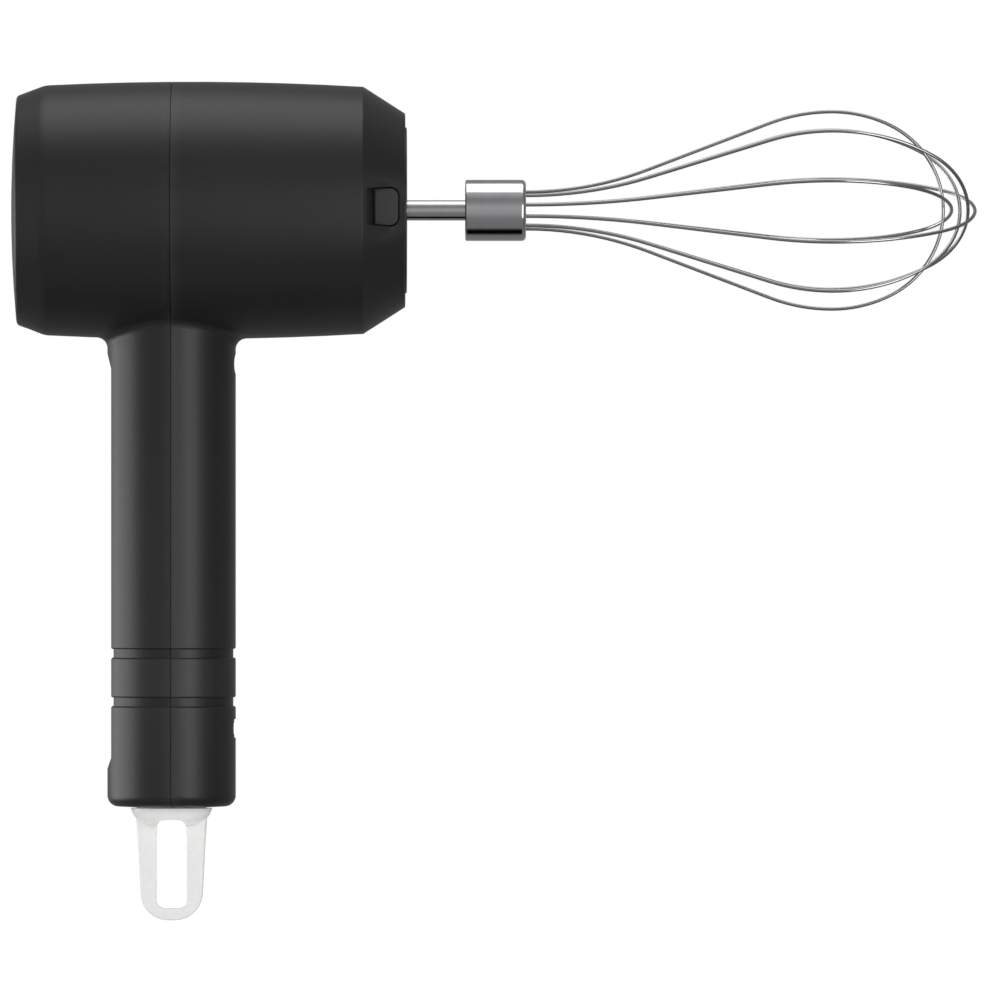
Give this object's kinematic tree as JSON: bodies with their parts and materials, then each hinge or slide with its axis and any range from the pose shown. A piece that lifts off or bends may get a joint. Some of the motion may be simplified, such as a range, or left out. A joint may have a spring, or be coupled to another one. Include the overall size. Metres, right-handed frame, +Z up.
{
  "type": "hand mixer",
  "caption": "Cordless hand mixer with a short round barrel on an upright cylindrical handle, a plug-in balloon whisk and a hanging loop.",
  "frame": {"origin": "on the handle's axis at the middle of the plain grip", "axes": "+Z up the handle towards the barrel, +X along the barrel from the rear cap to the whisk, +Y across"},
  "size_m": [0.2413, 0.0644, 0.2097],
  "materials": {
    "case": "fine satin",
    "plug": "matt",
    "screw_steel": "zinc plated",
    "loop": "smooth",
    "pin_steel": "ground",
    "pin_black": "black oxide",
    "spring_steel": "drawn",
    "button": "matt",
    "switch_black": "moulded",
    "light": "frosted",
    "board": "solder mask",
    "chip": "moulded",
    "cell_wrap": "shrink film",
    "nickel": "rolled nickel",
    "socket_steel": "pressed",
    "lead": "insulation",
    "can_steel": "zinc plated",
    "cap_plastic": "moulded",
    "brass": "pressed",
    "bronze": "sintered",
    "magnet": "sintered ferrite",
    "shaft_steel": "ground",
    "core_steel": "stacked sheet",
    "copper": "enamelled copper",
    "copper_bar": "turned copper",
    "carbon": "pressed carbon",
    "gear_case": "moulded",
    "gear_metal": "sintered",
    "gear_plastic": "moulded acetal",
    "seal_rubber": "moulded",
    "chrome": "polished",
    "core_plastic": "moulded",
    "wire": "bright drawn"
  },
  "bodies": {
    "housing": {"front_shell": "case", "rear_shell": "case", "screw_plug": "plug", "case_screw": "screw_steel", "nose_plate": "case", "hang_loop": "loop", "latch_pins": "pin_black", "latch_springs": "spring_steel", "tact_switch": "switch_black", "charge_light": "light", "main_board": "board", "board_parts": "chip", "board_screws": "screw_steel", "battery_cell": "cell_wrap", "battery_tabs": "nickel", "charge_board": "board", "charge_socket": "socket_steel", "socket_tongue": "switch_black", "motor_leads": "lead", "charge_leads": "lead", "motor_can": "can_steel", "motor_cap": "cap_plastic", "motor_terminals": "brass", "motor_bushes": "bronze", "motor_magnets": "magnet", "motor_brushes": "carbon", "motor_screws": "screw_steel", "gearbox_housing": "gear_case", "gearbox_cover": "gear_case", "gearbox_screws": "screw_steel", "ring_gear": "gear_plastic", "spindle_bushes": "bronze", "spindle_seal": "seal_rubber"},
    "spindle": {"drive_spindle": "shaft_steel", "planet_carrier": "gear_metal", "planet_pins": "pin_steel", "detent_ring": "spring_steel"},
    "whisk": {"whisk_shaft": "chrome", "whisk_collar": "chrome", "whisk_core": "core_plastic", "whisk_wire_1": "wire", "whisk_wire_2": "wire", "whisk_wire_3": "wire", "whisk_wire_4": "wire", "whisk_wire_5": "wire"},
    "rotor": {"motor_shaft": "shaft_steel", "armature_core": "core_steel", "armature_coils": "copper", "commutator": "copper_bar", "sun_gear": "gear_metal"},
    "planet_1": {"planet_gear_1": "gear_plastic"},
    "planet_2": {"planet_gear_2": "gear_plastic"},
    "planet_3": {"planet_gear_3": "gear_plastic"},
    "button": {"power_button": "button", "switch_stem": "switch_black"},
    "latch_r": {"latch_right": "case"},
    "latch_l": {"latch_left": "case"}
  },
  "joints": [
    {"name": "spindle_spin", "type": "hinge", "parent": "housing", "child": "spindle", "pos_m": [0.04, 0, 0.075], "axis": [1, 0, 0], "continuous": true},
    {"name": "whisk_pull", "type": "slide", "parent": "spindle", "child": "whisk", "axis": [1, 0, 0], "range_m": [0, 0.034]},
    {"name": "rotor_spin", "type": "hinge", "parent": "housing", "child": "rotor", "pos_m": [-0.01, 0, 0.075], "axis": [1, 0, 0], "continuous": true},
    {"name": "planet_spin_1", "type": "hinge", "parent": "spindle", "child": "planet_1", "pos_m": [0.012, 0, 0.08625], "axis": [1, 0, 0], "continuous": true},
    {"name": "planet_spin_2", "type": "hinge", "parent": "spindle", "child": "planet_2", "pos_m": [0.012, -0.00974, 0.06938], "axis": [1, 0, 0], "continuous": true},
    {"name": "planet_spin_3", "type": "hinge", "parent": "spindle", "child": "planet_3", "pos_m": [0.012, 0.00974, 0.06938], "axis": [1, 0, 0], "continuous": true},
    {"name": "button_press", "type": "slide", "parent": "housing", "child": "button", "axis": [1, 0, 0], "range_m": [0, 0.0007], "stiffness_N_per_m": 2000, "springref_m": -0.0003},
    {"name": "latch_right_press", "type": "hinge", "parent": "housing", "child": "latch_r", "pos_m": [0.0555, 0.0236, 0.0755], "axis": [0, 0, 1], "range_deg": [0, 5], "stiffness_Nm_per_rad": 0.03, "springref_deg": -3.44, "deforming": ["latch_springs"]},
    {"name": "latch_left_press", "type": "hinge", "parent": "housing", "child": "latch_l", "pos_m": [0.0555, -0.0236, 0.0755], "axis": [0, 0, -1], "range_deg": [0, 5], "stiffness_Nm_per_rad": 0.03, "springref_deg": -3.44, "deforming": ["latch_springs"]}
  ],
  "couplings": [
    {"joint": "rotor_spin", "follows": "spindle_spin", "ratio": 4},
    {"joint": "planet_spin_1", "follows": "spindle_spin", "ratio": -3},
    {"joint": "planet_spin_2", "follows": "spindle_spin", "ratio": -3},
    {"joint": "planet_spin_3", "follows": "spindle_spin", "ratio": -3}
  ]
}
